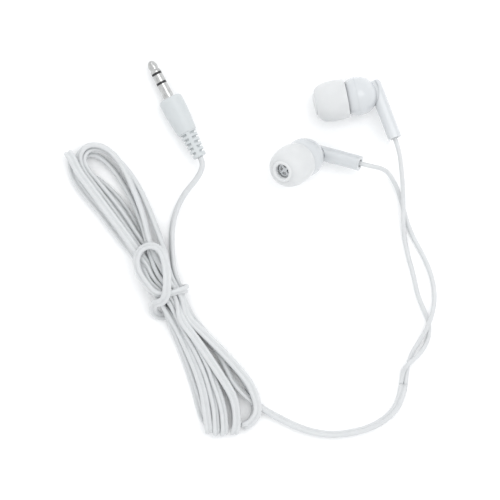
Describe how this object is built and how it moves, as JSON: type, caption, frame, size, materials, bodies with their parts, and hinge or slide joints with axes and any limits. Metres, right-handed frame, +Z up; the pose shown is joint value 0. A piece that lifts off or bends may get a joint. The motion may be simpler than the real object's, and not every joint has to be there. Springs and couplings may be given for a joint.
{
  "type": "wired earphones",
  "caption": "Wired in-ear earphones with soft ear tips, stems, a flat twin cord wound in a tied hank and a straight 3.5 mm stereo plug.",
  "frame": {"origin": "on the surface that the earphones lie on, under the middle of the two earbuds", "axes": "+Z up from the surface, +X along the longer side of the two earbuds' box, +Y towards the upper (left) earbud"},
  "size_m": [0.1254, 0.1272, 0.0224],
  "materials": {
    "silicone": "satin translucent white silicone",
    "shell": "glossy moulded white plastic",
    "mesh": "fine woven metal mesh",
    "driver_steel": "plated steel",
    "driver_plastic": "black moulded plastic",
    "magnet": "nickel-plated magnet",
    "copper": "enamelled copper wire",
    "film": "thin clear film",
    "felt": "thin felt",
    "board": "green circuit board",
    "cord_jacket": "satin soft white cord jacket",
    "contact_metal": "bright nickel plating",
    "insulator": "black insulating ring",
    "grip": "satin moulded white grip"
  },
  "bodies": {
    "earphones": {"left_front_shell": "shell", "left_rear_shell": "shell", "left_nozzle_mesh": "mesh", "left_driver_cover": "driver_steel", "left_driver_frame": "driver_plastic", "left_driver_yoke": "driver_steel", "left_driver_magnet": "magnet", "left_driver_top_plate": "driver_steel", "left_diaphragm_surround": "film", "left_damping_felt": "felt", "left_terminal_board": "board", "left_fine_wires": "copper", "left_inner_lead": "cord_jacket", "right_front_shell": "shell", "right_rear_shell": "shell", "right_nozzle_mesh": "mesh", "right_driver_cover": "driver_steel", "right_driver_frame": "driver_plastic", "right_driver_yoke": "driver_steel", "right_driver_magnet": "magnet", "right_driver_top_plate": "driver_steel", "right_diaphragm_surround": "film", "right_damping_felt": "felt", "right_terminal_board": "board", "right_fine_wires": "copper", "right_inner_lead": "cord_jacket", "plug_tip": "contact_metal", "plug_front_insulator": "insulator", "plug_ring": "contact_metal", "plug_rear_insulator": "insulator", "plug_sleeve": "contact_metal", "plug_ground_tab": "driver_steel", "plug_wires": "copper", "plug_inner_mould": "driver_plastic", "plug_grip": "grip", "left_lead": "cord_jacket", "right_lead": "cord_jacket", "twin_cord": "cord_jacket", "plug_lead": "cord_jacket", "cord_hank": "cord_jacket"},
    "left_tip": {"left_ear_tip": "silicone"},
    "left_cone": {"left_voice_coil": "copper", "left_diaphragm_dome": "film"},
    "right_tip": {"right_ear_tip": "silicone"},
    "right_cone": {"right_voice_coil": "copper", "right_diaphragm_dome": "film"}
  },
  "joints": [
    {"name": "left_ear_tip_pull", "type": "slide", "parent": "earphones", "child": "left_tip", "axis": [-0.9813, -0.1902, 0.03], "range_m": [0, 0.008]},
    {"name": "left_cone_stroke", "type": "slide", "parent": "earphones", "child": "left_cone", "axis": [-0.9813, -0.1902, 0.03], "range_m": [-0.00025, 0.00025], "stiffness_N_per_m": 60},
    {"name": "right_ear_tip_pull", "type": "slide", "parent": "earphones", "child": "right_tip", "axis": [-0.5146, -0.3347, 0.7894], "range_m": [0, 0.008]},
    {"name": "right_cone_stroke", "type": "slide", "parent": "earphones", "child": "right_cone", "axis": [-0.5146, -0.3347, 0.7894], "range_m": [-0.00025, 0.00025], "stiffness_N_per_m": 60}
  ]
}
